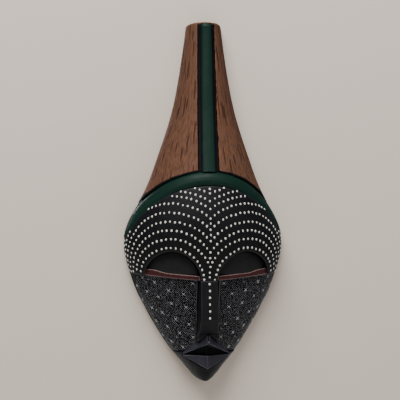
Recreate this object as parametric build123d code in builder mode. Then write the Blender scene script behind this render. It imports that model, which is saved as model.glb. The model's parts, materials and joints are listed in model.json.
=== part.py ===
"""A carved wooden wall mask: a black face under a tall flared crest.

The origin is the wall nail that the mask hangs on: X across the mask, -Y out of the wall
towards the viewer, +Z up.  The mask's flat back lies on the wall, in the plane y = 0.
"left" and "right" are as the viewer sees them, so the left side is at -X.
"""

import math
import os

from build123d import *

# ---------------------------------------------------------------- driving dimensions
MASK_HEIGHT = 351.5
MASK_HALF_WIDTH = 79.0
MASK_DEPTH = 60.0
NAIL_BELOW_TOP = 76.0
NAIL_RADIUS = 1.5

FIT = 0.1  # gap left round every glued or inlaid piece
REACH = 2 * MASK_DEPTH  # how far a front drawing is carried towards the viewer

# The carved form: height, half width and depth, as shares of the whole mask's
STATIONS = (
    (0.0, 0.065, 0.39),
    (0.017, 0.158, 0.46),
    (0.045, 0.264, 0.55),
    (0.084, 0.412, 0.65),
    (0.166, 0.645, 0.75),
    (0.247, 0.836, 0.835),
    (0.329, 0.962, 0.93),
    (0.376, 1.0, 0.98),
    (0.421, 0.975, 1.0),
    (0.492, 0.834, 0.95),
    (0.534, 0.735, 0.89),
    (0.632, 0.571, 0.75),
    (0.736, 0.42, 0.63),
    (0.843, 0.318, 0.55),
    (0.92, 0.264, 0.50),
    (1.0, 0.22, 0.47),
)
SECTIONS = 22
SAW_ALLOWANCE = 1.0
TOP_ROUNDING = 3.0

# Face and crest
BAND_OVERHANG = 6.0  # how far the band's circle passes outside the widest part
BAND_RADIUS = MASK_HALF_WIDTH + BAND_OVERHANG
BAND_TOP = 0.5815 * MASK_HEIGHT
BAND_WIDTH = 13.5
BAND_SINK = 8.0
PROUD = 2.0  # how far the band and the ridge stand out in front
PROUD_AT_SIDE = 0.5
GROOVE_WIDTH = 2.0
GROOVE_DEPTH = 3.0
CHANNEL_TOP_HALF_WIDTH = 8.2
CHANNEL_FOOT_HALF_WIDTH = 10.6
RIDGE_TOP_HALF_WIDTH = 5.2
RIDGE_FOOT_HALF_WIDTH = 7.0
RIDGE_END_DROP = 1.5

DOWEL_RADIUS = 4.0
DOWEL_LENGTH = 40.0
DOWEL_SPREAD = 25.0
DOWEL_FROM_BACK = 20.0

HOLLOW_SIDE_WALL = 13.0
HOLLOW_FRONT_WALL = 22.0
HOLLOW_FOOT = 0.07 * MASK_HEIGHT
HOLLOW_HEAD = 0.5 * MASK_HEIGHT

# Layout lines across the face, as shares of the mask, the way a carver marks them
EYE_INNER_HEIGHT = 0.2857 * MASK_HEIGHT
EYE_OUTER_HEIGHT = 0.2985 * MASK_HEIGHT
EYE_PEAK_HEIGHT = 0.3655 * MASK_HEIGHT
EYE_SHOULDER_HEIGHT = 0.344 * MASK_HEIGHT
EYE_PEAK_OUT = 0.4435 * MASK_HALF_WIDTH
EYE_INNER_SHOULDER_OUT = 0.229 * MASK_HALF_WIDTH
EYE_OUTER_SHOULDER_OUT = 0.6706 * MASK_HALF_WIDTH
EYE_OUTER_OUT = 0.762 * MASK_HALF_WIDTH
NOSE_TIP_HEIGHT = 0.18 * MASK_HEIGHT
LIP_PEAK_HEIGHT = 0.14 * MASK_HEIGHT
LIP_EDGE_HEIGHT = 0.115 * MASK_HEIGHT
MOUTH_TOP_HEIGHT = 0.1 * MASK_HEIGHT
MOUTH_LINE_HEIGHT = 0.0765 * MASK_HEIGHT
LIP_FOOT_HEIGHT = 0.0375 * MASK_HEIGHT
LIP_CORNER_OUT = 0.283 * MASK_HALF_WIDTH

# Depths below the carved form, as (side, front)
EYE_FLOOR = (3.0, 13.0)
EYELID_DEPTH = (2.0, 9.0)
BAR_DEPTH = (1.5, 5.5)
CHEEK_DEPTH = (1.5, 9.0)
BAR_HEIGHT = 6.3
BACK_RIM = 4.0

NOSE_BASE_HALF_WIDTH = 10.5
NOSE_BRIDGE_HALF_WIDTH = 8.0
NOSE_TIP_HALF_WIDTH = 8.5
NOSE_RISE = 12.0  # the tip stands this far in front of the carved form
NOSE_FOOT_RISE = 1.5
SEAT_SINK = 2.5  # the nose and lips are let this far into the wood behind them

LIP_CORNER_SINK = 5.0
UPPER_LIP_RISE = 7.5
LOWER_LIP_RISE = 8.0
LIP_CORNER_RISE = 3.6
LIP_CORNER_HEIGHT = 1.2
LIP_CORNER_GAP = 0.9  # between the two lips where they run out
LIP_GROOVE_WIDTH = 2.2
LIP_GROOVE_DEPTH = 1.8

PLATE_THICKNESS = 0.8
PIN_RADIUS = 0.5
PIN_LENGTH = 8.0
PIN_HEAD_RADIUS = 0.9
PIN_HEAD_HEIGHT = 0.5
PIN_INSET = 3.5

# Hanger
POCKET_HALF_WIDTH = 13.0
POCKET_DEPTH = 9.0
POCKET_CORNER = 4.0
POCKET_MARGIN = 2.0
STRAP_WIDTH = 10.0
STRAP_LENGTH = 30.0
STRAP_THICKNESS = 1.0
WIRE_RADIUS = 1.0
PIVOT_CLEARANCE = 0.08
RING_RADIUS = 9.0
RING_LEG = 6.0
RING_BEND = 2.5
SCREW_RADIUS = 1.45
PILOT_RADIUS = 1.5
SCREW_LENGTH = 12.0
SCREW_HEAD_RADIUS = 2.8
SCREW_PLACES = (9.0, 22.0)
RECESS_WIDTH = 0.8
RECESS_LENGTH = 3.2
RECESS_DEPTH = 0.8

# ---------------------------------------------------------------- frame and forms
NAIL_HEIGHT = MASK_HEIGHT - NAIL_BELOW_TOP
CHIN_Z = -NAIL_HEIGHT
# A drawing on FRONT has its own x across and its own y as height above the chin
FRONT = Plane(origin=(0, 0, CHIN_Z), x_dir=(1, 0, 0), z_dir=(0, -1, 0))

rail = Spline(
    [
        (width * MASK_HALF_WIDTH, depth * MASK_DEPTH, height * MASK_HEIGHT)
        for height, width, depth in STATIONS
    ]
)


def carved_form(side=0.0, front=0.0):
    """The mask's rounded wedge, drawn in from its sides and front by the two amounts."""
    with BuildPart() as form:
        for step in range(SECTIONS + 1):
            station = rail @ (step / SECTIONS)
            half_width = station.X - side
            depth = station.Y - front
            if half_width < 2:
                continue
            with BuildSketch(Plane.XY.offset(CHIN_Z + station.Z)):
                with BuildLine():
                    edge = EllipticalCenterArc(
                        (0, 0), half_width, depth, start_angle=180, arc_size=180
                    )
                    Polyline(
                        edge @ 1,
                        (half_width, SAW_ALLOWANCE),
                        (-half_width, SAW_ALLOWANCE),
                        edge @ 0,
                    )
                make_face()
        loft()
        # saw the back flat: the front is the side that this plane faces
        split(bisect_by=Plane.XZ, keep=Keep.TOP)
    return form.part


def front_point(form, across, height):
    """The point, and the way the surface faces, where a form is met from the front."""
    skin = form.faces().sort_by(SortBy.AREA)[-1]
    sight = Axis((across, -REACH, CHIN_Z + height), (0, 1, 0))
    point, facing = skin.find_intersection_points(sight)[0]
    return point, facing


def depth_at(height, across=0.0):
    """How far the carved form stands off the wall at a height."""
    return -front_point(whole_form, across, height)[0].Y


def waste(outline, floor):
    """The wood cut away in front of a floor, within an outline drawn on the front."""
    with BuildPart() as cutter:
        extrude(outline, amount=REACH)
        add(floor, mode=Mode.SUBTRACT)
    return cutter.part


def inlay(outline, top, floor):
    """A piece that fills an outline, from its floor up to its top."""
    with BuildPart() as piece:
        extrude(outline, amount=REACH)
        add(top, mode=Mode.INTERSECT)
        add(floor, mode=Mode.SUBTRACT)
    return piece.part


whole_form = carved_form()
proud_form = carved_form(-PROUD_AT_SIDE, -PROUD)
groove_floor = carved_form(GROOVE_DEPTH, GROOVE_DEPTH)
band_floor = carved_form(BAND_SINK, BAND_SINK)
eye_floor = carved_form(*EYE_FLOOR)
cheek_wood = carved_form(*CHEEK_DEPTH)

# ---------------------------------------------------------------- front drawings
BAND_CENTRE_HEIGHT = BAND_TOP - BAND_RADIUS
LIP_CORNER_TOP = MOUTH_LINE_HEIGHT + LIP_CORNER_GAP + LIP_CORNER_HEIGHT
LIP_CORNER_FOOT = MOUTH_LINE_HEIGHT - LIP_CORNER_HEIGHT
eye_inner = Vector(NOSE_BRIDGE_HALF_WIDTH + FIT, EYE_INNER_HEIGHT)
eye_outer = Vector(EYE_OUTER_OUT, EYE_OUTER_HEIGHT)
eye_line = (eye_outer - eye_inner).normalized()


def over_arc(top, radius):
    """Everything above a circle's upper half, drawn from side to side."""
    centre_height = top - radius
    with BuildSketch(FRONT) as region:
        with BuildLine():
            arc = CenterArc((0, centre_height), radius, 0, 180)
            Polyline(
                arc @ 1,
                (-radius, MASK_HEIGHT + REACH),
                (radius, MASK_HEIGHT + REACH),
                arc @ 0,
            )
        make_face()
    return region.sketch


def band_outline(gap=0.0):
    """The crescent between two equal circles, one a band's width below the other."""
    upper_centre = BAND_TOP - BAND_RADIUS
    lower_centre = upper_centre - BAND_WIDTH
    outer = BAND_RADIUS + BAND_OVERHANG
    with BuildSketch(FRONT) as region:
        with BuildLine():
            upper = CenterArc((0, upper_centre), BAND_RADIUS - gap, 0, 180)
            lower = CenterArc((0, lower_centre), BAND_RADIUS + gap, 0, 180)
            Polyline(upper @ 0, (outer, upper_centre), (outer, lower_centre), lower @ 0)
            Polyline(upper @ 1, (-outer, upper_centre), (-outer, lower_centre), lower @ 1)
        make_face()
    return region.sketch


def eye_outline(gap=0.0):
    """The right eye: a straight lower edge under an arched brow, drawn in by a gap."""
    rise = Vector(0, gap)
    inner = eye_inner + eye_line * (2 * gap) + rise
    outer = eye_outer - eye_line * (2 * gap) + rise
    with BuildSketch(FRONT) as region:
        with BuildLine():
            Line(inner, outer)
            Spline(
                outer,
                Vector(EYE_OUTER_SHOULDER_OUT, EYE_SHOULDER_HEIGHT) - rise,
                Vector(EYE_PEAK_OUT, EYE_PEAK_HEIGHT) - rise,
                Vector(EYE_INNER_SHOULDER_OUT, EYE_SHOULDER_HEIGHT) - rise,
                inner,
            )
        make_face()
    return region.sketch


def bar_strip(low, high):
    """A strip along the eye's lower edge, between two heights above it."""
    rise = Vector(0, 1)
    start = eye_inner - eye_line * REACH
    end = eye_outer + eye_line * REACH
    with BuildSketch(FRONT) as region:
        with BuildLine():
            Polyline(
                start + rise * low,
                end + rise * low,
                end + rise * high,
                start + rise * high,
                close=True,
            )
        make_face()
    return region.sketch


def cheek_outline(gap=0.0):
    """The right cheek: from the eye's line down to the lips, and out past the side."""
    inner = NOSE_BASE_HALF_WIDTH
    outer = MASK_HALF_WIDTH + BAND_OVERHANG
    slope = eye_line.Y / eye_line.X
    with BuildSketch(FRONT.offset(BACK_RIM)) as region:
        with BuildLine():
            Polyline(
                (inner, EYE_INNER_HEIGHT + slope * (inner - eye_inner.X)),
                (outer, EYE_INNER_HEIGHT + slope * (outer - eye_inner.X)),
                (outer, MOUTH_LINE_HEIGHT),
                (LIP_CORNER_OUT, LIP_CORNER_TOP),
                (inner, lip_top_height(inner)),
                close=True,
            )
        make_face()
        offset(amount=-gap, kind=Kind.INTERSECTION)
    return region.sketch


def lip_top_height(across):
    """The upper lip's outer edge, straight from its peak to its corner."""
    share = across / LIP_CORNER_OUT
    return LIP_PEAK_HEIGHT + share * (LIP_CORNER_TOP - LIP_PEAK_HEIGHT)


# ---------------------------------------------------------------- eyes
with BuildPart() as eye_bar_right:
    add(inlay(eye_outline(FIT), carved_form(*BAR_DEPTH), eye_floor))
    extrude(bar_strip(0, BAR_HEIGHT), amount=REACH, mode=Mode.INTERSECT)

with BuildPart() as eyelid_right:
    add(inlay(eye_outline(FIT), carved_form(*EYELID_DEPTH), eye_floor))
    extrude(bar_strip(-BAR_HEIGHT, BAR_HEIGHT + FIT), amount=REACH, mode=Mode.SUBTRACT)

with BuildPart() as eye_bar_left:
    mirror(eye_bar_right.part, about=Plane.YZ)

with BuildPart() as eyelid_left:
    mirror(eyelid_right.part, about=Plane.YZ)

# ---------------------------------------------------------------- nose and lips
nose_seat = depth_at(LIP_PEAK_HEIGHT) - CHEEK_DEPTH[1] - SEAT_SINK
NOSE_SECTIONS = (
    # height, half width of the front, depth of the front
    (LIP_PEAK_HEIGHT, NOSE_BASE_HALF_WIDTH - 1, depth_at(LIP_PEAK_HEIGHT) + NOSE_FOOT_RISE),
    (NOSE_TIP_HEIGHT, NOSE_TIP_HALF_WIDTH, depth_at(NOSE_TIP_HEIGHT) + NOSE_RISE),
    (EYE_INNER_HEIGHT, NOSE_BRIDGE_HALF_WIDTH, depth_at(EYE_INNER_HEIGHT)),
)

with BuildPart() as nose:
    for height, half_width, depth in NOSE_SECTIONS:
        with BuildSketch(Plane.XY.offset(CHIN_Z + height)):
            Polygon(
                (-NOSE_BASE_HALF_WIDTH, -nose_seat),
                (-half_width, -depth),
                (half_width, -depth),
                (NOSE_BASE_HALF_WIDTH, -nose_seat),
                align=None,
            )
    loft(ruled=True)

lip_seat_centre = depth_at(LIP_FOOT_HEIGHT) - SEAT_SINK
lip_seat_corner = depth_at(LIP_CORNER_TOP, LIP_CORNER_OUT) - LIP_CORNER_SINK
lip_edge_depth = depth_at(LIP_EDGE_HEIGHT) + UPPER_LIP_RISE
LIP_ENDS = (-LIP_CORNER_OUT, 0, LIP_CORNER_OUT)


def lip_seat_depth(across):
    """The seat falls away in a straight line from the middle of the mouth to its corners."""
    share = abs(across) / LIP_CORNER_OUT
    return lip_seat_centre + share * (lip_seat_corner - lip_seat_centre)


def profile_plane(across):
    """A plane seen from the side: its x is the depth, its y the height above the chin."""
    return Plane(origin=(across, 0, CHIN_Z), x_dir=(0, -1, 0), z_dir=(-1, 0, 0))


def lip_corner(across, top):
    """The small profile that a lip runs out to at the corner of the mouth."""
    seat = lip_seat_depth(across)
    return (
        (seat, top),
        (seat + LIP_CORNER_RISE, top),
        (seat + LIP_CORNER_RISE, top - LIP_CORNER_HEIGHT),
        (seat, top - LIP_CORNER_HEIGHT),
    )


def upper_lip_profile(across):
    if across == 0:
        return (
            (lip_seat_centre, LIP_PEAK_HEIGHT),
            (depth_at(LIP_PEAK_HEIGHT), LIP_PEAK_HEIGHT),
            (lip_edge_depth, LIP_EDGE_HEIGHT),
            (lip_seat_centre, MOUTH_TOP_HEIGHT),
        )
    return lip_corner(across, LIP_CORNER_TOP)


def lower_lip_profile(across):
    if across == 0:
        return (
            (lip_seat_centre, MOUTH_LINE_HEIGHT),
            (depth_at(MOUTH_LINE_HEIGHT), MOUTH_LINE_HEIGHT),
            (depth_at(LIP_FOOT_HEIGHT) + LOWER_LIP_RISE, LIP_FOOT_HEIGHT + LIP_CORNER_HEIGHT),
            (lip_seat_centre, LIP_FOOT_HEIGHT),
        )
    return lip_corner(across, MOUTH_LINE_HEIGHT)


with BuildPart() as upper_lip:
    for across in LIP_ENDS:
        with BuildSketch(profile_plane(across)):
            Polygon(*upper_lip_profile(across), align=None)
    loft(ruled=True)
    # the furrow between nose and mouth
    with BuildSketch(Plane.XY.offset(CHIN_Z + MOUTH_TOP_HEIGHT)):
        with Locations((0, -lip_edge_depth)):
            Rectangle(LIP_GROOVE_WIDTH, 2 * LIP_GROOVE_DEPTH)
    extrude(amount=LIP_PEAK_HEIGHT, mode=Mode.SUBTRACT)

with BuildPart() as lower_lip:
    for across in LIP_ENDS:
        with BuildSketch(profile_plane(across)):
            Polygon(*lower_lip_profile(across), align=None)
    loft(ruled=True)

with BuildPart() as lip_seat:
    with BuildSketch(Plane.XY.offset(CHIN_Z)):
        Polygon(
            (-2 * LIP_CORNER_OUT, 0),
            (-2 * LIP_CORNER_OUT, -lip_seat_depth(2 * LIP_CORNER_OUT)),
            (0, -lip_seat_centre),
            (2 * LIP_CORNER_OUT, -lip_seat_depth(2 * LIP_CORNER_OUT)),
            (2 * LIP_CORNER_OUT, 0),
            align=None,
        )
    extrude(amount=2 * LIP_PEAK_HEIGHT)


def mouth_outline():
    """The lips' own outline, a gap larger all round."""
    with BuildSketch(FRONT) as region:
        Polygon(
            (0, LIP_FOOT_HEIGHT),
            (LIP_CORNER_OUT, LIP_CORNER_FOOT),
            (LIP_CORNER_OUT, LIP_CORNER_TOP),
            (0, LIP_PEAK_HEIGHT),
            (-LIP_CORNER_OUT, LIP_CORNER_TOP),
            (-LIP_CORNER_OUT, LIP_CORNER_FOOT),
            align=None,
        )
        offset(amount=FIT, kind=Kind.INTERSECTION)
    return region.sketch


# ---------------------------------------------------------------- cheek plates and pins
CHEEK_SIDE, CHEEK_FRONT = CHEEK_DEPTH
PLATE_TOP = FIT + PLATE_THICKNESS
plate_face = carved_form(CHEEK_SIDE - PLATE_TOP, CHEEK_FRONT - PLATE_TOP)
PIN_SPOTS = (
    (NOSE_BASE_HALF_WIDTH + PIN_INSET, EYE_INNER_HEIGHT - PIN_INSET),
    (EYE_PEAK_OUT, EYE_INNER_HEIGHT - PIN_INSET / 2),
    (EYE_OUTER_OUT - PIN_INSET / 2, EYE_OUTER_HEIGHT - 2 * PIN_INSET),
    (0.61 * MASK_HALF_WIDTH, 0.2 * MASK_HEIGHT),
    (0.36 * MASK_HALF_WIDTH, 0.125 * MASK_HEIGHT),
    (NOSE_BASE_HALF_WIDTH + PIN_INSET, LIP_PEAK_HEIGHT + PIN_INSET),
)


def pin_plane(across, height):
    """Where a pin goes in: on the plate's face, looking straight out of it."""
    point, facing = front_point(plate_face, across, height)
    return Plane(origin=point, z_dir=facing)


def brad(place):
    """A fine nail with a low domed head."""
    with BuildPart(place) as pin:
        Cylinder(
            PIN_RADIUS, PIN_LENGTH, align=(Align.CENTER, Align.CENTER, Align.MAX)
        )
        Cylinder(
            PIN_HEAD_RADIUS, PIN_HEAD_HEIGHT, align=(Align.CENTER, Align.CENTER, Align.MIN)
        )
        outward = Axis(place.origin, place.z_dir)
        fillet(pin.faces().sort_by(outward)[-1].edges(), PIN_HEAD_HEIGHT * 0.8)
    return pin.part


pin_planes = [pin_plane(across, height) for across, height in PIN_SPOTS]

with BuildPart() as cheek_pins:
    for place in pin_planes:
        pin = brad(place)
        add(pin)
        mirror(pin, about=Plane.YZ)

with BuildPart() as pin_bores_right:
    for place in pin_planes:
        with Locations(place):
            Cylinder(PIN_RADIUS, 2 * PIN_LENGTH)

with BuildPart() as cheek_plate_right:
    add(inlay(cheek_outline(2 * FIT), plate_face, carved_form(CHEEK_SIDE - FIT, CHEEK_FRONT - FIT)))
    add(pin_bores_right.part, mode=Mode.SUBTRACT)

with BuildPart() as cheek_plate_left:
    mirror(cheek_plate_right.part, about=Plane.YZ)

# ---------------------------------------------------------------- dowels
seam_height = BAND_CENTRE_HEIGHT + math.sqrt(BAND_RADIUS**2 - DOWEL_SPREAD**2)
DOWEL_SPOTS = (
    (-DOWEL_SPREAD, -DOWEL_FROM_BACK),
    (DOWEL_SPREAD, -DOWEL_FROM_BACK),
)


def dowel_pair(gap=0.0):
    """Two upright dowels, half in the face and half in the crest."""
    foot = CHIN_Z + seam_height - DOWEL_LENGTH / 2 - gap
    with BuildPart() as pair:
        with BuildSketch(Plane.XY.offset(foot)):
            with Locations(*DOWEL_SPOTS):
                Circle(DOWEL_RADIUS + gap)
        extrude(amount=DOWEL_LENGTH + 2 * gap)
    return pair.part


with BuildPart() as crest_dowels:
    add(dowel_pair())

# ---------------------------------------------------------------- hanger
KNUCKLE_BORE = WIRE_RADIUS + PIVOT_CLEARANCE
KNUCKLE_RADIUS = KNUCKLE_BORE + STRAP_THICKNESS
PIVOT_Y = -POCKET_DEPTH + KNUCKLE_RADIUS
RING_TOP = RING_LEG + RING_RADIUS
# The nail bears on the inside of the ring's bow, which puts it at the origin
PIVOT_Z = -(RING_TOP - WIRE_RADIUS - NAIL_RADIUS)
POCKET_TOP = PIVOT_Z + STRAP_LENGTH + POCKET_MARGIN
POCKET_FOOT = PIVOT_Z - STRAP_LENGTH - POCKET_MARGIN
HEAD_Y = -POCKET_DEPTH + STRAP_THICKNESS
# On this plane y runs down from the pivot, and the strap is extruded towards the wall
strap_plane = Plane(origin=(0, -POCKET_DEPTH, PIVOT_Z), x_dir=(1, 0, 0), z_dir=(0, 1, 0))
ring_plane = Plane(origin=(0, PIVOT_Y, PIVOT_Z), x_dir=(1, 0, 0), z_dir=(0, -1, 0))


def screw(below_pivot, gap=0.0):
    """A flat-headed screw, flush with the strap and driven towards the viewer."""
    head_depth = SCREW_HEAD_RADIUS - SCREW_RADIUS
    centre = (0, HEAD_Y, PIVOT_Z - below_pivot)
    with BuildPart() as one:
        with BuildSketch(Plane(origin=centre, x_dir=(1, 0, 0), z_dir=(0, 0, -1))):
            Polygon(
                (0, 0),
                (SCREW_HEAD_RADIUS + gap, 0),
                (SCREW_RADIUS + gap, head_depth),
                (SCREW_RADIUS + gap, SCREW_LENGTH - SCREW_RADIUS),
                (0, SCREW_LENGTH + gap),
                align=None,
            )
        revolve(axis=Axis(centre, (0, 1, 0)))
    return one.part


with BuildPart() as hanger_screws:
    for place in SCREW_PLACES:
        add(screw(place))
    with BuildSketch(strap_plane.offset(STRAP_THICKNESS - RECESS_DEPTH)):
        with Locations(*[(0, place) for place in SCREW_PLACES]):
            Rectangle(RECESS_LENGTH, RECESS_WIDTH)
            Rectangle(RECESS_WIDTH, RECESS_LENGTH)
    extrude(amount=RECESS_DEPTH, mode=Mode.SUBTRACT)

with BuildPart() as hanger_strap:
    with BuildSketch(strap_plane):
        with Locations((0, STRAP_LENGTH / 2)):
            Rectangle(STRAP_WIDTH, STRAP_LENGTH)
    extrude(amount=STRAP_THICKNESS)
    foot_corners = hanger_strap.edges().filter_by(Axis.Y).group_by(Axis.Z)[0]
    fillet(foot_corners, STRAP_WIDTH / 3)
    with BuildSketch(Plane.YZ.offset(-STRAP_WIDTH / 2)):
        with Locations((PIVOT_Y, PIVOT_Z)):
            Circle(KNUCKLE_RADIUS)
    extrude(amount=STRAP_WIDTH)
    with BuildSketch(Plane.YZ.offset(-STRAP_WIDTH / 2)):
        with Locations((PIVOT_Y, PIVOT_Z)):
            Circle(KNUCKLE_BORE)
    extrude(amount=STRAP_WIDTH, mode=Mode.SUBTRACT)
    for place in SCREW_PLACES:
        add(screw(place, gap=PILOT_RADIUS - SCREW_RADIUS), mode=Mode.SUBTRACT)

with BuildPart() as hanger_ring:
    with BuildLine(ring_plane) as bend:
        FilletPolyline((0, 0), (RING_RADIUS, 0), (RING_RADIUS, RING_LEG), radius=RING_BEND)
        CenterArc((0, RING_LEG), RING_RADIUS, 0, 90)
    with BuildSketch(Plane(origin=bend.line @ 0, z_dir=(1, 0, 0))):
        Circle(WIRE_RADIUS)
    sweep()
    mirror(about=Plane.YZ)

# ---------------------------------------------------------------- crest
with BuildSketch(FRONT) as groove_outline:
    add(over_arc(BAND_TOP, BAND_RADIUS))
    add(over_arc(BAND_TOP + GROOVE_WIDTH, BAND_RADIUS + GROOVE_WIDTH), mode=Mode.SUBTRACT)


def tapered_strip(foot_half_width, top_half_width, end):
    """A strip up the middle of the crest, straight-sided from the band to its end."""
    foot = BAND_TOP - BAND_WIDTH
    with BuildSketch(FRONT) as region:
        Polygon(
            (-foot_half_width, foot),
            (foot_half_width, foot),
            (top_half_width, end),
            (-top_half_width, end),
            align=None,
        )
    return region.sketch


channel_outline = tapered_strip(CHANNEL_FOOT_HALF_WIDTH, CHANNEL_TOP_HALF_WIDTH, MASK_HEIGHT)
ridge_outline = tapered_strip(
    RIDGE_FOOT_HALF_WIDTH, RIDGE_TOP_HALF_WIDTH, MASK_HEIGHT - RIDGE_END_DROP
)

with BuildPart() as crest_block:
    add(whole_form)
    top_face = crest_block.faces().sort_by(Axis.Z)[-1]
    fillet(top_face.edges().sort_by(Axis.Y)[0], TOP_ROUNDING)
    extrude(over_arc(BAND_TOP, BAND_RADIUS), amount=REACH, mode=Mode.INTERSECT)
    add(waste(groove_outline.sketch, groove_floor), mode=Mode.SUBTRACT)
    add(waste(channel_outline, groove_floor), mode=Mode.SUBTRACT)
    # the pocket for the hanger, routed from the back
    with BuildSketch(FRONT):
        with Locations((0, (POCKET_TOP + POCKET_FOOT) / 2 + NAIL_HEIGHT)):
            RectangleRounded(2 * POCKET_HALF_WIDTH, POCKET_TOP - POCKET_FOOT, POCKET_CORNER)
    extrude(amount=POCKET_DEPTH, mode=Mode.SUBTRACT)
    for place in SCREW_PLACES:
        add(screw(place, gap=PILOT_RADIUS - SCREW_RADIUS), mode=Mode.SUBTRACT)
    add(dowel_pair(FIT), mode=Mode.SUBTRACT)

with BuildPart() as crest_ridge:
    add(inlay(ridge_outline, proud_form, carved_form(GROOVE_DEPTH - FIT, GROOVE_DEPTH - FIT)))
    extrude(over_arc(BAND_TOP + FIT, BAND_RADIUS + FIT), amount=REACH, mode=Mode.INTERSECT)

with BuildPart() as brow_band:
    add(inlay(band_outline(FIT), proud_form, carved_form(BAND_SINK - FIT, BAND_SINK - FIT)))

# ---------------------------------------------------------------- face
with BuildPart() as hollow:
    add(carved_form(HOLLOW_SIDE_WALL, HOLLOW_FRONT_WALL))
    with BuildSketch(Plane.XY.offset(CHIN_Z + HOLLOW_FOOT)):
        Rectangle(2 * REACH, 2 * REACH)
    extrude(amount=HOLLOW_HEAD - HOLLOW_FOOT, mode=Mode.INTERSECT)

with BuildPart() as face_block:
    add(whole_form)
    extrude(over_arc(BAND_TOP, BAND_RADIUS), amount=REACH, mode=Mode.SUBTRACT)
    add(waste(band_outline(), band_floor), mode=Mode.SUBTRACT)
    eye_waste = waste(eye_outline(), eye_floor)
    cheek_waste = waste(cheek_outline(), cheek_wood)
    for cut in (eye_waste, cheek_waste, pin_bores_right.part):
        add(cut, mode=Mode.SUBTRACT)
        mirror(cut, about=Plane.YZ, mode=Mode.SUBTRACT)
    nose_height = EYE_INNER_HEIGHT - LIP_PEAK_HEIGHT + FIT
    with BuildSketch(FRONT.offset(nose_seat)):
        with Locations((0, LIP_PEAK_HEIGHT)):
            Rectangle(
                2 * (NOSE_BASE_HALF_WIDTH + FIT), nose_height, align=(Align.CENTER, Align.MIN)
            )
    extrude(amount=REACH, mode=Mode.SUBTRACT)
    add(waste(mouth_outline(), lip_seat.part), mode=Mode.SUBTRACT)
    add(hollow.part, mode=Mode.SUBTRACT)
    add(dowel_pair(FIT), mode=Mode.SUBTRACT)

# ---------------------------------------------------------------- write the pieces
PIECES = {
    "face_block": face_block,
    "crest_block": crest_block,
    "crest_dowels": crest_dowels,
    "crest_ridge": crest_ridge,
    "brow_band": brow_band,
    "eyelid_left": eyelid_left,
    "eyelid_right": eyelid_right,
    "eye_bar_left": eye_bar_left,
    "eye_bar_right": eye_bar_right,
    "nose": nose,
    "upper_lip": upper_lip,
    "lower_lip": lower_lip,
    "cheek_plate_left": cheek_plate_left,
    "cheek_plate_right": cheek_plate_right,
    "cheek_pins": cheek_pins,
    "hanger_strap": hanger_strap,
    "hanger_ring": hanger_ring,
    "hanger_screws": hanger_screws,
}

os.makedirs("parts", exist_ok=True)
for name, piece in PIECES.items():
    piece.part.label = name
    export_step(piece.part, f"parts/{name}.step")
    print(f"{name}: {len(piece.part.solids())} solid(s), {piece.part.volume / 1000:.2f} cm3")
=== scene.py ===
# %% [markdown]
# # A carved wall mask
#
# The CAD model gives every piece its place and size: this lesson gives them their surfaces.
# Wood that is carved by hand has soft edges, tool marks and paint with brush work in it, so
# most pieces are copied from the frame, remeshed finely and then worked by small functions
# that move points the way a gouge or a knife would. What repeats, such as paint dots and
# punched marks, is laid out by a rule and made with Geometry Nodes.

# %% Load the frame
import json
import math
import random

import bmesh
import bpy
import numpy as np
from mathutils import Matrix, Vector
from mathutils.bvhtree import BVHTree

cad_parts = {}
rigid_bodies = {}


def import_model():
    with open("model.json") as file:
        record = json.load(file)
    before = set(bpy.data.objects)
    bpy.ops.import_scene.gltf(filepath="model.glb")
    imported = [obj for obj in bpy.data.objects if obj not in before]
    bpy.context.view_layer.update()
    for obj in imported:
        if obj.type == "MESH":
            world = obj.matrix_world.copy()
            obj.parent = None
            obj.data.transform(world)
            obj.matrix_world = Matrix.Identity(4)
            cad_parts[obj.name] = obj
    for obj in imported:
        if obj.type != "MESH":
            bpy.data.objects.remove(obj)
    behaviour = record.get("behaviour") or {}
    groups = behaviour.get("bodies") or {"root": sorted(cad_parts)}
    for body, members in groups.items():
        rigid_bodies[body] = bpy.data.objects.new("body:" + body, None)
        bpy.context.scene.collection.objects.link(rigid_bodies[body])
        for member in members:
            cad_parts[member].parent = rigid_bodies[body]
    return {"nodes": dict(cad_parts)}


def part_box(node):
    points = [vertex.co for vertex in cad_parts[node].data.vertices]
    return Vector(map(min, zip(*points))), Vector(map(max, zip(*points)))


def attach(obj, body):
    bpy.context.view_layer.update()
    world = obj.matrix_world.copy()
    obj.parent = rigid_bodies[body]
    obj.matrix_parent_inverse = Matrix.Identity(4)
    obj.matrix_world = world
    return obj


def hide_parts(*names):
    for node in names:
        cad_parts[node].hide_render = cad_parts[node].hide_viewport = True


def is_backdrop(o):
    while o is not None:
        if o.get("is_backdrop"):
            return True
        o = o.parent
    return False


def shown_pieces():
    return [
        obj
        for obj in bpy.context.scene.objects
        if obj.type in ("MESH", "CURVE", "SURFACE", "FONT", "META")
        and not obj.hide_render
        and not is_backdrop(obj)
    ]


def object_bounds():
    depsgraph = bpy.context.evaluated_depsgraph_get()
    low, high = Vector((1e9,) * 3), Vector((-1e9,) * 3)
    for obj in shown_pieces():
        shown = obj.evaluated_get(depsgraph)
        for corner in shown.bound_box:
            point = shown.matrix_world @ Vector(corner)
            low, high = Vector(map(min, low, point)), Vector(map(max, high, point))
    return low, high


for left_over in list(bpy.data.objects):
    bpy.data.objects.remove(left_over)
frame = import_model()
CAD_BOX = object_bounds()
MM = 0.001
LOW, HIGH = (np.array(corner) for corner in CAD_BOX)
CHIN_Z = LOW[2]
HEIGHT = HIGH[2] - LOW[2]
print("CAD box, mm:", LOW / MM, HIGH / MM)

# %% [markdown]
# ## Camera and light
#
# A mask on a wall is met from the front, a little from its left, at the height of its
# forehead.  A long lens from about a metre keeps the nose from swelling.  The light is a
# broad soft panel high on the left, with a weak fill from the right.  Two more stand straight
# behind the wall line, so that the hollowed back can be studied too.

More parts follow.
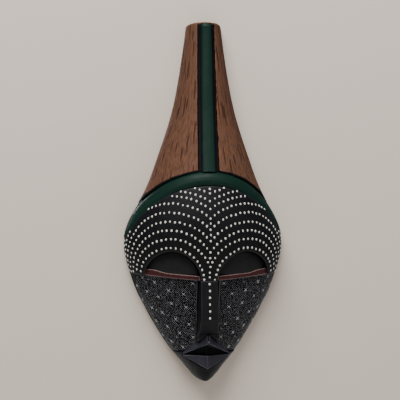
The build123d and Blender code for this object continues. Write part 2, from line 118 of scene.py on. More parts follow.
# %% Camera
WALL_DISTANCE = 1.05
VIEW_WIDTH = 0.4  # what the frame spans on the wall, across and up
SENSOR = 36.0
CAMERA_TURN = math.radians(-7.0)
AIM = Vector((-0.0028, 0.0, CHIN_Z + 0.1775))

scene = bpy.context.scene
camera_data = bpy.data.cameras.new("camera")
camera_data.sensor_width = SENSOR
camera_data.lens = SENSOR * WALL_DISTANCE / VIEW_WIDTH
camera_data.clip_start = 0.01
camera = bpy.data.objects.new("camera", camera_data)
away = Vector((math.sin(CAMERA_TURN), -math.cos(CAMERA_TURN), 0.0))
camera.location = AIM + away * WALL_DISTANCE
camera.rotation_euler = (-away).to_track_quat("-Z", "Y").to_euler()
scene.collection.objects.link(camera)
scene.camera = camera
print("lens", round(camera_data.lens, 1), "mm")

# %% Lights
LIGHTS = (
    # name, place, size, watts
    ("key_panel", (-0.35, -0.9, 1.35), 1.1, 45.0),
    ("fill_panel", (0.9, -1.3, 0.5), 1.1, 3.4),
    ("back_panel", (-0.15, 1.6, 0.5), 0.9, 10.0),
    ("back_fill", (0.3, 1.5, -0.4), 0.7, 4.0),
)
for name, place, size, watts in LIGHTS:
    lamp_data = bpy.data.lights.new(name, "AREA")
    lamp_data.size = size
    lamp_data.energy = watts
    lamp = bpy.data.objects.new(name, lamp_data)
    lamp.location = place
    lamp.rotation_euler = (AIM - Vector(place)).to_track_quat("-Z", "Y").to_euler()
    scene.collection.objects.link(lamp)

world = bpy.data.worlds.new("soft_room")
world.use_nodes = True
sky = world.node_tree.nodes["Background"].inputs
sky["Color"].default_value = (0.86, 0.9, 1.0, 1.0)
sky["Strength"].default_value = 0.2
scene.world = world
print(len(LIGHTS), "lights")

# %% [markdown]
# ## Two small tools for materials
#
# Every colour here is written as an sRGB hex value, which a shader needs as linear light.
# One function adds a node, sets what it is given and links what it is handed, so each
# material below reads as a list of its layers.

# %% Colour and node helpers


def colour(hex_value):
    """An sRGB hex value as the linear RGBA that a shader works in."""
    parts = [int(hex_value[i : i + 2], 16) / 255 for i in (1, 3, 5)]
    linear = [p / 12.92 if p <= 0.04045 else ((p + 0.055) / 1.055) ** 2.4 for p in parts]
    return (*linear, 1.0)


def add_node(tree, kind, inputs=None, **settings):
    """Add a node with its settings; an input takes a value, a hex colour or a socket."""
    made = tree.nodes.new(kind)
    for name, value in settings.items():
        setattr(made, name, value)
    for key, value in (inputs or {}).items():
        if isinstance(value, bpy.types.NodeSocket):
            tree.links.new(value, made.inputs[key])
        elif isinstance(value, str) and value.startswith("#"):
            made.inputs[key].default_value = colour(value)
        else:
            made.inputs[key].default_value = value
    return made


def new_material(name):
    """A material, its node tree and the Principled shader in it."""
    material = bpy.data.materials.new(name)
    material.use_nodes = True
    tree = material.node_tree
    return material, tree, tree.nodes["Principled BSDF"]


# %% [markdown]
# ## Floor and wall
#
# The stage is a plain pale floor and, close behind the mask, a plain pale wall.  The wall
# shows only its front face and only to the camera, so it neither hides nor shades the back.

# %% Stage


def sheet_object(name, corners, material):
    """A flat four-cornered sheet."""
    mesh = bpy.data.meshes.new(name)
    mesh.from_pydata(corners, [], [tuple(range(len(corners)))])
    mesh.materials.append(material)
    made = bpy.data.objects.new(name, mesh)
    scene.collection.objects.link(made)
    return made


FLOOR_Z = CHIN_Z - 0.42
FLOOR_REACH = 4.0
WALL_GAP = 0.0004
WALL_REACH = 0.75
WALL_FOOT, WALL_HEAD = CHIN_Z - 0.4, CHIN_Z + 0.9

pale_floor, _, floor_shader = new_material("pale_matt_floor")
floor_shader.inputs["Base Color"].default_value = colour("#d8d4ce")
floor_shader.inputs["Roughness"].default_value = 0.8
floor = sheet_object(
    "floor",
    [(-FLOOR_REACH, -FLOOR_REACH, FLOOR_Z), (FLOOR_REACH, -FLOOR_REACH, FLOOR_Z),
     (FLOOR_REACH, FLOOR_REACH, FLOOR_Z), (-FLOOR_REACH, FLOOR_REACH, FLOOR_Z)],
    pale_floor,
)

pale_wall, wall_tree, wall_shader = new_material("pale_matt_wall")
wall_shader.inputs["Base Color"].default_value = colour("#e6d8c9")
wall_shader.inputs["Roughness"].default_value = 0.9
wall_side = add_node(wall_tree, "ShaderNodeNewGeometry")
clear = add_node(wall_tree, "ShaderNodeBsdfTransparent")
one_sided = add_node(
    wall_tree,
    "ShaderNodeMixShader",
    {0: wall_side.outputs["Backfacing"], 1: wall_shader.outputs[0], 2: clear.outputs[0]},
)
wall_output = wall_tree.nodes["Material Output"]
wall_tree.links.new(one_sided.outputs[0], wall_output.inputs["Surface"])
wall = sheet_object(
    "wall",
    [(-WALL_REACH, WALL_GAP, WALL_FOOT), (WALL_REACH, WALL_GAP, WALL_FOOT),
     (WALL_REACH, WALL_GAP, WALL_HEAD), (-WALL_REACH, WALL_GAP, WALL_HEAD)],
    pale_wall,
)
wall.visible_diffuse = False
wall.visible_glossy = False
wall.visible_transmission = False
wall.visible_shadow = False
floor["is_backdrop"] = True
wall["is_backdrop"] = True
print("floor at", FLOOR_Z)

# %% [markdown]
# ## The carver's template
#
# The whole mask is one rounded wedge: at each height its section is half an ellipse.  The
# CAD model draws it through sixteen stations, and the same stations are used here to know,
# at any point, how far round the section it lies and how deep below the surface.  That is
# what lets grain, gouge cuts and rows of dots follow the form.

# %% Template
HALF_WIDTH = HIGH[0]
DEPTH = 0.060
TEMPLATE = np.array(
    # height, half width and depth, as shares of the whole mask's
    (
        (0.0, 0.065, 0.39), (0.017, 0.158, 0.46), (0.045, 0.264, 0.55), (0.084, 0.412, 0.65),
        (0.166, 0.645, 0.75), (0.247, 0.836, 0.835), (0.329, 0.962, 0.93), (0.376, 1.0, 0.98),
        (0.421, 0.975, 1.0), (0.492, 0.834, 0.95), (0.534, 0.735, 0.89), (0.632, 0.571, 0.75),
        (0.736, 0.42, 0.63), (0.843, 0.318, 0.55), (0.92, 0.264, 0.5), (1.0, 0.22, 0.47),
    )
)
THINNEST = 0.1 * MM  # no section is taken smaller than this
heights = TEMPLATE[:, 0]
slopes = np.gradient(TEMPLATE[:, 1:], heights, axis=0)


def form_at(height):
    """Half width and depth of the form, by cubic steps between the stations."""
    share = np.clip(np.asarray(height, float) / HEIGHT, 0.0, 1.0)
    i = np.clip(np.searchsorted(heights, share) - 1, 0, len(heights) - 2)
    step = heights[i + 1] - heights[i]
    t = ((share - heights[i]) / step)[..., None]
    step = step[..., None]
    low, high = TEMPLATE[i, 1:], TEMPLATE[i + 1, 1:]
    value = (
        (2 * t**3 - 3 * t**2 + 1) * low
        + (t**3 - 2 * t**2 + t) * step * slopes[i]
        + (3 * t**2 - 2 * t**3) * high
        + (t**3 - t**2) * step * slopes[i + 1]
    )
    return value[..., 0] * HALF_WIDTH, value[..., 1] * DEPTH


def below_form(points, side=0.0, front=0.0):
    """How deep each point lies under the form, and the way out of the form there."""
    half_width, depth = form_at(points[:, 2] - CHIN_Z)
    half_width = np.maximum(half_width + side, THINNEST)
    depth = np.maximum(depth + front, THINNEST)
    across = points[:, 0] / half_width
    off_wall = points[:, 1] / depth
    reach = np.maximum(np.hypot(across, off_wall), 1e-6)
    radius = np.hypot(points[:, 0], points[:, 1]) / reach
    outward = np.stack([across / half_width, off_wall / depth, np.zeros(len(points))], axis=1)
    outward /= np.maximum(np.linalg.norm(outward, axis=1, keepdims=True), 1e-9)
    toward = np.stack([points[:, 0], points[:, 1], np.zeros(len(points))], axis=1)
    toward /= np.maximum(np.linalg.norm(toward, axis=1, keepdims=True), 1e-9)
    slant = np.sum(outward * toward, axis=1)
    return (1 - reach) * radius * slant, outward


print("widest:", round(float(form_at(0.376 * HEIGHT)[0] / MM), 1), "mm")

# %% [markdown]
# ## Rough-out: from CAD solid to carved wood
#
# A CAD solid has razor edges and long thin triangles, which neither look hand-made nor can
# be worked.  A copy of each wooden piece is merged, then remeshed into small even squares
# (voxels), which also rounds each edge by about one square, the way sanding does.

# %% Remesh and numpy helpers
MERGE_DISTANCE = 0.002 * MM
WAVES = 14
pieces = {}


def carved_copy(node, voxel_mm, smoothing=2):
    """A fine, even copy of a CAD node, ready to be worked; it stands for the node."""
    mesh = frame["nodes"][node].data.copy()
    work = bmesh.new()
    work.from_mesh(mesh)
    bmesh.ops.remove_doubles(work, verts=work.verts, dist=MERGE_DISTANCE)
    work.to_mesh(mesh)
    work.free()
    rough = bpy.data.objects.new("rough_" + node, mesh)
    scene.collection.objects.link(rough)
    remesh = rough.modifiers.new("voxels", "REMESH")
    remesh.mode = "VOXEL"
    remesh.voxel_size = voxel_mm * MM
    smooth = rough.modifiers.new("sanding", "SMOOTH")
    smooth.factor = 0.5
    smooth.iterations = smoothing
    graph = bpy.context.evaluated_depsgraph_get()
    final = bpy.data.meshes.new_from_object(rough.evaluated_get(graph))
    bpy.data.objects.remove(rough)
    final.name = "carved_" + node
    final.materials.clear()
    final.shade_smooth()
    made = bpy.data.objects.new("carved_" + node, final)
    scene.collection.objects.link(made)
    pieces[node] = made
    print(made.name, len(final.vertices), "points")
    return made


def read_points(made, what="co"):
    """The piece's points, or their normals, as an array."""
    mesh = made.data
    values = np.empty(len(mesh.vertices) * 3, np.float32)
    if what == "co":
        mesh.vertices.foreach_get("co", values)
    else:
        mesh.vertex_normals.foreach_get("vector", values)
    return values.reshape(-1, 3).astype(float)


def write_points(made, points):
    made.data.vertices.foreach_set("co", points.astype(np.float32).ravel())
    made.data.update()


def write_mask(made, name, values):
    """Store one number for each point, which the piece's material reads by name."""
    layer = made.data.attributes.new(name, "FLOAT", "POINT")
    layer.data.foreach_set("value", values.astype(np.float32))


def neighbour_mean(made, values, rounds=1):
    """Each point's value replaced by the mean of its neighbours', some rounds over."""
    edges = np.empty(len(made.data.edges) * 2, np.int32)
    made.data.edges.foreach_get("vertices", edges)
    a, b = edges.reshape(-1, 2).T
    count = np.bincount(edges, minlength=len(values)).astype(float)
    for _ in range(rounds):
        columns = [
            np.bincount(a, weights=column[b], minlength=len(values))
            + np.bincount(b, weights=column[a], minlength=len(values))
            for column in values.T
        ]
        values = np.stack(columns, axis=1) / count[:, None]
    return values


def edge_mask(made, rounds, full_mm):
    """1 where the surface is a sharp outer edge, used for rubbed paint and for painted edge
    highlights, and 0 on flats.
    """
    points = read_points(made)
    drop = points - neighbour_mean(made, points, rounds)
    bulge = np.sum(drop * read_points(made, "normal"), axis=1)
    return np.clip(bulge / (full_mm * MM), 0.0, 1.0)


def smooth_noise(points, size_mm, seed):
    """Cheap soft noise from -1 to 1: a sum of waves with random directions and lengths."""
    source = np.random.default_rng(seed)
    total = np.zeros(len(points))
    for _ in range(WAVES):
        heading = source.normal(size=3)
        heading /= np.linalg.norm(heading)
        length = size_mm * MM * source.uniform(0.8, 1.8)
        total += np.sin(points @ heading * (2 * math.pi / length) + source.uniform(0, 6.28))
    return total / math.sqrt(WAVES)


def ease(values, low, high):
    """0 below low, 1 above high, and a smooth rise between."""
    t = np.clip((values - low) / (high - low), 0.0, 1.0)
    return t * t * (3 - 2 * t)


def faces_back(normals):
    """1 where the surface lies flat against the wall, and so was left bare."""
    return ease(normals[:, 1], 0.85, 0.97)


# %% [markdown]
# ## The face block
#
# Its outside is painted black.  Its back is never seen on the wall, so a carver leaves it
# bare: a flat sawn rim and a cavity dug out with a wide gouge, which leaves shallow scoops.
# The scoops are real dents here, each the nearest of a scatter of spherical cuts.

# %% Face block
BACK_SKIN = 0.5 * MM
HOLLOW_SIDE = -13.0 * MM
HOLLOW_FRONT = -22.0 * MM
HOLLOW_ENDS = (0.067, 0.503)
SCOOP_SPACING = 9.0 * MM
SCOOP_DEPTH = 1.3 * MM
SCOOP_FADE = (1.0 * MM, 4.0 * MM)  # scoops die out towards the flat rim
HOLLOW_SKIN = 1.2 * MM
HAND_SIZE, HAND_DEPTH = 34.0, 0.12 * MM  # how far a hand-carved face strays from the template
CELL_CODES = np.array((73856093, 19349663, 83492791))
CELL_TURNS = (1.3, 2.1, 3.7)


def scoop_cuts(points, spacing, depth, seed):
    """Dents left by a wide gouge: deepest at each scatter point, with ridges between."""
    cell = np.floor(points / spacing).astype(int)
    best = np.full(len(points), 9.0)
    for offset in np.ndindex(3, 3, 3):
        near = cell + np.array(offset) - 1
        code = near @ CELL_CODES + seed
        shift = np.stack([(np.sin(code * k) * 43758.5) % 1 for k in CELL_TURNS], axis=1)
        gap = points / spacing - (near + shift)
        best = np.minimum(best, np.sum(gap * gap, axis=1))
    return depth * (1 - np.clip(best / 0.6, 0, 1))


face = carved_copy("face_block", 1.05)
points = read_points(face)
normals = read_points(face, "normal")
inside_depth, _ = below_form(points, HOLLOW_SIDE, HOLLOW_FRONT)
height = points[:, 2] - CHIN_Z
in_hollow = (inside_depth > -HOLLOW_SKIN) & (points[:, 1] < -BACK_SKIN)
in_hollow &= (height > HOLLOW_ENDS[0] * HEIGHT) & (height < HOLLOW_ENDS[1] * HEIGHT)
cut = scoop_cuts(points, SCOOP_SPACING, SCOOP_DEPTH, 5) * in_hollow
cut *= ease(-points[:, 1], *SCOOP_FADE)
uneven = smooth_noise(points, HAND_SIZE, 11) * HAND_DEPTH * ~in_hollow
uneven *= ease(-points[:, 1], 0, 3 * MM)
write_points(face, points - normals * (cut + np.abs(uneven))[:, None])
# Each gouge dent's depth, by which the paint darkens the bare wood as painted shade.
write_mask(face, "scoop_shade", cut / SCOOP_DEPTH * in_hollow)
write_mask(face, "bare", np.maximum(in_hollow, faces_back(normals)))
write_mask(face, "edge", edge_mask(face, 2, 0.2))

# %% [markdown]
# ## The crest
#
# The crest is stained, not painted, and is dressed with a small V gouge: short lens-shaped
# cuts run up the flare and fan out with it.  Stain gathers in them, so they read as dark
# ticks.  Each cut here is a groove with its own length, width and depth, laid along a line
# that keeps its share of the way round the section.

# %% Crest block and its gouge cuts
GOUGE_ROWS = 9
GOUGE_LENGTH = (10.0, 23.0)
GOUGE_WIDTH = (0.95, 1.6)
GOUGE_DEPTH = (0.4, 0.85)
GOUGE_START = (-24, 14)  # mm above the band
GOUGE_GAP = (10, 46)
GOUGE_BEARINGS = (16, 74)  # degrees round the section: the first row, and the span of them all
GOUGE_TOP = HEIGHT - 8 * MM
GRAIN_RADIUS = 0.035  # turns bearings into a distance for the grain
BAND_RADIUS = HALF_WIDTH + 6.0 * MM
BAND_TOP = 0.5815 * HEIGHT
BAND_WIDTH = 13.5 * MM
GROOVE_WIDTH = 2.0 * MM
CHANNEL_FOOT, CHANNEL_TOP = 10.6 * MM, 8.2 * MM
PAINT_STOPS = 1.8 * MM  # a brown rim is left unpainted at the very top


def above_band(points):
    """Distance above the band's upper arc; negative below it."""
    up = points[:, 2] - CHIN_Z - (BAND_TOP - BAND_RADIUS)
    return np.hypot(points[:, 0], up) - BAND_RADIUS


def channel_half(points):
    """Half the width of the black channel at each point's height."""
    share = (points[:, 2] - CHIN_Z - BAND_TOP + BAND_WIDTH) / (HEIGHT - BAND_TOP + BAND_WIDTH)
    return CHANNEL_FOOT + share * (CHANNEL_TOP - CHANNEL_FOOT)


crest = carved_copy("crest_block", 0.72)
points = read_points(crest)
normals = read_points(crest, "normal")
chooser = random.Random(8)
groove = np.zeros(len(points))
stain = np.zeros(len(points))
gouges = 0
for side in (-1, 1):
    for row in range(GOUGE_ROWS):
        height = BAND_TOP + chooser.uniform(*GOUGE_START) * MM
        while height < GOUGE_TOP:
            length = chooser.uniform(*GOUGE_LENGTH) * MM
            width = chooser.uniform(*GOUGE_WIDTH) * MM
            depth = chooser.uniform(*GOUGE_DEPTH) * MM
            first, span = GOUGE_BEARINGS
            bearing = math.radians(first + span * (row + chooser.uniform(0.1, 0.9)) / GOUGE_ROWS)
            middle = height + length / 2
            height += length + chooser.uniform(*GOUGE_GAP) * MM
            half_width, front = form_at(points[:, 2] - CHIN_Z)
            axis_x = side * math.sin(bearing) * half_width
            axis_y = -math.cos(bearing) * front
            off_axis = np.hypot(points[:, 0] - axis_x, points[:, 1] - axis_y)
            along = (points[:, 2] - CHIN_Z - middle) / (length / 2)
            taper = np.sqrt(np.clip(1 - along**2, 0, 1))
            lens = np.clip(1 - (off_axis / (width * taper + 1e-6)) ** 2, 0, 1) * (taper > 0)
            groove = np.maximum(groove, depth * lens * taper)
            stain = np.maximum(stain, lens)
            gouges += 1
print(gouges, "gouge cuts")

in_channel = np.abs(points[:, 0]) < channel_half(points) + 0.2 * MM
ragged = smooth_noise(points, 9.0, 21) * 0.25 * MM
painted_channel = np.abs(points[:, 0]) < channel_half(points) + ragged
painted_channel &= points[:, 2] < HIGH[2] - PAINT_STOPS + ragged
black_paint_and_shade = (above_band(points) < GROOVE_WIDTH + ragged) | painted_channel
front_side = ease(-points[:, 1], 0.6 * MM, 2.0 * MM)
_, outward = below_form(points)
flute = np.abs(smooth_noise(points * np.array((1, 1, 0.12)), 8.0, 31)) * 0.09 * MM
groove = np.where(in_channel, 0, groove + flute) * front_side
write_points(crest, points - outward * groove[:, None])
write_mask(crest, "cut", stain * ~in_channel)
write_mask(crest, "black_paint_and_shade", black_paint_and_shade * front_side)
write_mask(crest, "bare", faces_back(normals))
write_mask(crest, "edge", edge_mask(crest, 2, 0.2))
half_width, front = form_at(points[:, 2] - CHIN_Z)
turn = np.arctan2(points[:, 0] / half_width, -points[:, 1] / front)
flow = crest.data.attributes.new("flow", "FLOAT_VECTOR", "POINT")
along_grain = np.stack(
    [turn * GRAIN_RADIUS, np.hypot(points[:, 0], points[:, 1]), points[:, 2]], axis=1
)
flow.data.foreach_set("vector", along_grain.astype(np.float32).ravel())

# %% [markdown]
# ## Band, ridge, lids and bars
#
# The green band and ridge are rounded over their whole width.  Instead of a fillet, every
# point that stands proud of a round profile is pressed back to it, as a spokeshave would
# take it down.  The eyelids are gently domed, and the red bars keep a crisp upper arris.

# %% Rounded strips


def round_over(made, across, fall, side, front):
    """Press a strip's face down to a round profile: across runs from -1 to 1 over it."""
    points = read_points(made)
    depth, outward = below_form(points, side, front)
    profile = fall * (1 - np.sqrt(np.clip(1 - across(points) ** 2, 0, 1)))
    press = np.clip(profile - depth, 0, None)
    write_points(made, points - outward * press[:, None])


PROUD_SIDE = 0.5 * MM
PROUD_FRONT = 2.0 * MM
RIDGE_FOOT, RIDGE_TOP = 7.0 * MM, 5.2 * MM
BAND_FALL, RIDGE_FALL = 4.2 * MM, 1.7 * MM  # from the middle of the strip to its edges
GREEN_HALF, GREEN_SPREAD = 4.9 * MM, 0.8 * MM  # at the ridge's top, and more at its foot
END_FALL = 1.8 * MM
END_RUN = (HIGH[2] - 5.0 * MM, HIGH[2] - 1.0 * MM)
RIPPLE_SIZE, RIPPLE_DEPTH = 16.0, 0.09 * MM


def across_band(points):
    upper = above_band(points)
    lowered = points + np.array((0, 0, BAND_WIDTH))
    lower = above_band(lowered)
    return np.clip((lower + upper) / (lower - upper), -1, 1)


def across_ridge(points):
    share = (points[:, 2] - CHIN_Z - BAND_TOP) / (HEIGHT - BAND_TOP)
    return np.clip(points[:, 0] / (RIDGE_FOOT + share * (RIDGE_TOP - RIDGE_FOOT)), -1, 1)


band = carved_copy("brow_band", 0.6)
round_over(band, across_band, BAND_FALL, PROUD_SIDE, PROUD_FRONT)
ridge = carved_copy("crest_ridge", 0.5)
round_over(ridge, across_ridge, RIDGE_FALL, PROUD_SIDE, PROUD_FRONT)
points = read_points(ridge)
flank = GREEN_HALF + GREEN_SPREAD * (HIGH[2] - points[:, 2]) / (HEIGHT - BAND_TOP)
flank += smooth_noise(points, 12.0, 43) * 0.12 * MM
write_mask(ridge, "black_paint_and_shade", ease(np.abs(points[:, 0]) - flank, -0.1 * MM, 0.1 * MM))
points[:, 1] += ease(points[:, 2], *END_RUN) * END_FALL
write_points(ridge, points)
for made in (band, ridge):
    points = read_points(made)
    ripple = smooth_noise(points, RIPPLE_SIZE, 41) * RIPPLE_DEPTH
    write_points(made, points + read_points(made, "normal") * ripple[:, None])
    write_mask(made, "edge", edge_mask(made, 3, 0.2))

# %% Eyelids and eye bars
LID_DOME = 3.2 * MM
BAR_HEIGHT = 6.3 * MM
BAR_SAG = 2.1 * MM  # the bar's upper edge dips between its outer end and the nose
SAG_SPAN = (0.58, 0.85)
LID_STRETCH = 9.0 * MM
LID_FRONT = (0.2, -0.3)  # only what faces forwards is domed
EYE_INNER = (8.1 * MM, 0.2857 * HEIGHT)
EYE_OUTER = (0.762 * HALF_WIDTH, 0.2985 * HEIGHT)


def dip_joint(made, weigh):
    """Lower the joint of bar and lid into a shallow curve, so both pieces keep meeting."""
    points = read_points(made)
    share = (np.abs(points[:, 0]) - EYE_INNER[0]) / (EYE_OUTER[0] - EYE_INNER[0])
    foot = EYE_INNER[1] + share * (EYE_OUTER[1] - EYE_INNER[1])
    above_foot = points[:, 2] - CHIN_Z - foot
    points[:, 2] -= BAR_SAG * (1 - ease(share, *SAG_SPAN)) * weigh(above_foot)
    write_points(made, points)


for side in ("left", "right"):
    lid = carved_copy("eyelid_" + side, 0.5)
    points = read_points(lid)
    low, high = (np.array(corner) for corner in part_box("eyelid_" + side))
    middle = (low + high) / 2
    reach = (high - low) / 2
    from_middle = ((points[:, 0] - middle[0]) / reach[0]) ** 2
    from_middle += ((points[:, 2] - low[2]) / (2 * reach[2])) ** 2
    dome = LID_DOME * np.clip(1 - from_middle, 0, 1)
    dome *= ease(read_points(lid, "normal")[:, 1], *LID_FRONT)
    points[:, 1] -= dome
    write_points(lid, points)
    dip_joint(lid, lambda above: 1 - ease(above, BAR_HEIGHT, BAR_HEIGHT + LID_STRETCH))
    write_mask(lid, "edge", edge_mask(lid, 2, 0.2))
    bar = carved_copy("eye_bar_" + side, 0.42)
    dip_joint(bar, lambda above: np.clip(above / BAR_HEIGHT, 0, 1))
    # A finer, stronger edge mask: the red paint lightens the bar's upper arris as a painted
    # highlight.
    write_mask(bar, "edge", edge_mask(bar, 4, 0.11))

# %% Nose and lips
FURROW_HALF = 1.2 * MM  # the furrow between nose and mouth
FURROW_DEPTH = 2.2 * MM
FURROW_RUN = (0.118 * HEIGHT, 0.125 * HEIGHT)
FURROW_FRONT = (34.0 * MM, 38.0 * MM)
DRIFT_SIZE, DRIFT_DEPTH = 13.0, 0.08 * MM

for node, voxel in (("nose", 0.5), ("upper_lip", 0.36), ("lower_lip", 0.36)):
    made = carved_copy(node, voxel, smoothing=2 if node == "nose" else 4)
    points = read_points(made)
    drift = smooth_noise(points, DRIFT_SIZE, 51) * DRIFT_DEPTH
    points += read_points(made, "normal") * drift[:, None]
    if node == "upper_lip":
        furrow = np.clip(1 - (points[:, 0] / FURROW_HALF) ** 2, 0, 1)
        furrow *= ease(points[:, 2] - CHIN_Z, *FURROW_RUN)
        furrow *= ease(-points[:, 1], *FURROW_FRONT)
        points[:, 1] += FURROW_DEPTH * furrow
        # The furrow is also painted near black: painted shade in the crease.
        write_mask(made, "black_paint_and_shade", ease(furrow, 0.1, 0.7))
    write_points(made, points)
    write_mask(made, "edge", edge_mask(made, 3, 0.16))

# %% [markdown]
# ## Cheek plates
#
# Carvers nail thin embossed aluminium over the cheeks.  It is cut from sheet, blackened, and
# then rubbed so that only the raised marks and the cut edge shine.  The sheet itself is
# slightly uneven from being pressed over wood, which a broad soft noise gives.

# %% Cheek plates
DENT_SIZE, DENT_DEPTH = 11.0, 0.07 * MM
for side in ("left", "right"):
    plate = carved_copy("cheek_plate_" + side, 0.4, smoothing=1)
    points = read_points(plate)
    dents = smooth_noise(points, DENT_SIZE, 61) * DENT_DEPTH
    write_points(plate, points + read_points(plate, "normal") * dents[:, None])
    write_mask(plate, "edge", edge_mask(plate, 3, 0.1))

# %% [markdown]
# ## Metal fittings and dowels
#
# Wire, strap, screws, pins and dowels are machine-made, so they keep their CAD shape.  Only
# the razor edges go: a narrow bevel catches the light as a real cut edge does.

# %% Bevelled copies
FITTINGS = {
    # node: bevel in mm
    "hanger_strap": 0.12,
    "hanger_ring": 0.03,
    "hanger_screws": 0.1,
    "cheek_pins": 0.12,
    "crest_dowels": 0.5,
}


def bevelled_copy(node, bevel_mm):
    """A merged copy of a CAD node with its sharp edges bevelled; it stands for the node."""
    mesh = frame["nodes"][node].data.copy()
    work = bmesh.new()
    work.from_mesh(mesh)
    bmesh.ops.remove_doubles(work, verts=work.verts, dist=0.001 * MM)
    bmesh.ops.dissolve_limit(
        work, angle_limit=math.radians(1), verts=work.verts, edges=work.edges
    )
    work.to_mesh(mesh)
    work.free()
    rough = bpy.data.objects.new("rough_" + node, mesh)
    scene.collection.objects.link(rough)
    bevel = rough.modifiers.new("edge", "BEVEL")
    bevel.width = bevel_mm * MM
    bevel.segments = 2
    bevel.limit_method = "ANGLE"
    bevel.angle_limit = math.radians(40)
    bevel.harden_normals = False
    triangles = rough.modifiers.new("triangles", "TRIANGULATE")
    triangles.quad_method = "BEAUTY"
    graph = bpy.context.evaluated_depsgraph_get()
    final = bpy.data.meshes.new_from_object(rough.evaluated_get(graph))
    bpy.data.objects.remove(rough)
    final.materials.clear()
    final.shade_smooth()
    final.set_sharp_from_angle(angle=math.radians(35))
    made = bpy.data.objects.new("finished_" + node, final)
    scene.collection.objects.link(made)
    pieces[node] = made
    print(made.name, len(final.polygons), "faces")
    return made


for node, bevel_mm in FITTINGS.items():
    bevelled_copy(node, bevel_mm)

# %% [markdown]
# ## Repeated marks with Geometry Nodes
#
# Paint dots, punched dots and star marks are the same idea three times: a small mark set on
# many points, standing on the surface.  The rule that lays out the points is Python; the
# tree turns points into marks, with the sizes as named inputs and a fixed seed.

# %% A tree that sets marks on points


def mark_tree(name, arms, segments, rings):
    """A tree that sets a raised mark, a dome or crossed bars, on each point it is given."""
    tree = bpy.data.node_groups.new(name, "GeometryNodeTree")
    sockets = tree.interface
    sockets.new_socket("Geometry", in_out="INPUT", socket_type="NodeSocketGeometry")
    for label in ("Width", "Length", "Height", "Unevenness"):
        sockets.new_socket(label, in_out="INPUT", socket_type="NodeSocketFloat")
    sockets.new_socket("Seed", in_out="INPUT", socket_type="NodeSocketInt")
    sockets.new_socket("Material", in_out="INPUT", socket_type="NodeSocketMaterial")
    sockets.new_socket("Geometry", in_out="OUTPUT", socket_type="NodeSocketGeometry")
    given = add_node(tree, "NodeGroupInput").outputs
    ball = add_node(
        tree, "GeometryNodeMeshUVSphere", {"Segments": segments, "Rings": rings, "Radius": 0.5}
    )
    size = add_node(
        tree, "ShaderNodeCombineXYZ", {0: given["Width"], 1: given["Length"], 2: given["Height"]}
    )
    joined = add_node(tree, "GeometryNodeJoinGeometry")
    for arm in range(arms):
        turned = add_node(
            tree, "GeometryNodeTransform", {"Geometry": ball.outputs[0], "Scale": size.outputs[0]}
        )
        turn = math.pi * (arm + 0.5) / arms if arms > 1 else 0.0
        spun = add_node(
            tree,
            "GeometryNodeTransform",
            {"Geometry": turned.outputs[0], "Rotation": (0.0, 0.0, turn)},
        )
        tree.links.new(spun.outputs[0], joined.inputs[0])
    facing = add_node(
        tree, "GeometryNodeInputNamedAttribute", {"Name": "facing"}, data_type="FLOAT_VECTOR"
    )
    stance = add_node(
        tree,
        "FunctionNodeAxesToRotation",
        {"Primary Axis": facing.outputs[0], "Secondary Axis": (0.0, 0.0, 1.0)},
        primary_axis="Z",
        secondary_axis="Y",
    )
    least = add_node(tree, "ShaderNodeMath", {0: 1.0, 1: given["Unevenness"]}, operation="SUBTRACT")
    most = add_node(tree, "ShaderNodeMath", {0: 1.0, 1: given["Unevenness"]}, operation="ADD")
    jitter = add_node(
        tree,
        "FunctionNodeRandomValue",
        {0: least.outputs[0], 1: most.outputs[0], "Seed": given["Seed"]},
        data_type="FLOAT_VECTOR",
    )
    placed = add_node(
        tree,
        "GeometryNodeInstanceOnPoints",
        {
            "Points": given["Geometry"],
            "Instance": joined.outputs[0],
            "Rotation": stance.outputs[0],
            "Scale": jitter.outputs[0],
        },
    )
    real = add_node(tree, "GeometryNodeRealizeInstances", {"Geometry": placed.outputs[0]})
    smooth = add_node(tree, "GeometryNodeSetShadeSmooth", {"Geometry": real.outputs[0]})
    coated = add_node(
        tree,
        "GeometryNodeSetMaterial",
        {"Geometry": smooth.outputs[0], "Material": given["Material"]},
    )
    add_node(tree, "NodeGroupOutput", {"Geometry": coated.outputs[0]})
    return tree


def set_marks(name, tree, spots, facings, sizes_mm, unevenness, seed, material):
    """Run the tree on the spots and keep the result as a plain mesh."""
    mesh = bpy.data.meshes.new(name + "_spots")
    mesh.from_pydata([tuple(spot) for spot in spots], [], [])
    layer = mesh.attributes.new("facing", "FLOAT_VECTOR", "POINT")
    layer.data.foreach_set("vector", np.array(facings, np.float32).ravel())
    host = bpy.data.objects.new(name + "_spots", mesh)
    scene.collection.objects.link(host)
    modifier = host.modifiers.new("marks", "NODES")
    modifier.node_group = tree
    values = dict(zip(("Width", "Length", "Height"), (size * MM for size in sizes_mm)))
    values.update(Unevenness=unevenness, Seed=seed, Material=material)
    for item in tree.interface.items_tree:
        if item.in_out == "INPUT" and item.name in values:
            modifier[item.identifier] = values[item.name]
    graph = bpy.context.evaluated_depsgraph_get()
    final = bpy.data.meshes.new_from_object(host.evaluated_get(graph))
    bpy.data.objects.remove(host)
    made = bpy.data.objects.new(name, final)
    scene.collection.objects.link(made)
    print(name, len(spots), "marks,", len(final.polygons), "faces")
    return made


# %% [markdown]
# ## Unrolling the form
#
# A painter keeps rows evenly spaced along the wood, not as seen from the front.  So rows are
# laid out on the unrolled surface: distance round the section from the front line, and
# height.  Each spot is then carried to the real surface by a ray from outside.

# %% Unrolled coordinates
QUARTER = np.linspace(0, math.pi / 2, 181)
RAY_START = 0.02  # rays set out this far outside the form
RAY_LIMIT = 0.034  # and a surface further off than this is another piece's place


def bearing_at(around, height):
    """The turn, from the front line, that lies this far round the section at a height."""
    half_width, depth = form_at(height)
    pace = np.hypot(half_width * np.cos(QUARTER), depth * np.sin(QUARTER))
    travelled = np.concatenate([[0], np.cumsum((pace[1:] + pace[:-1]) / 2 * QUARTER[1])])
    return float(np.interp(abs(around), travelled, QUARTER))


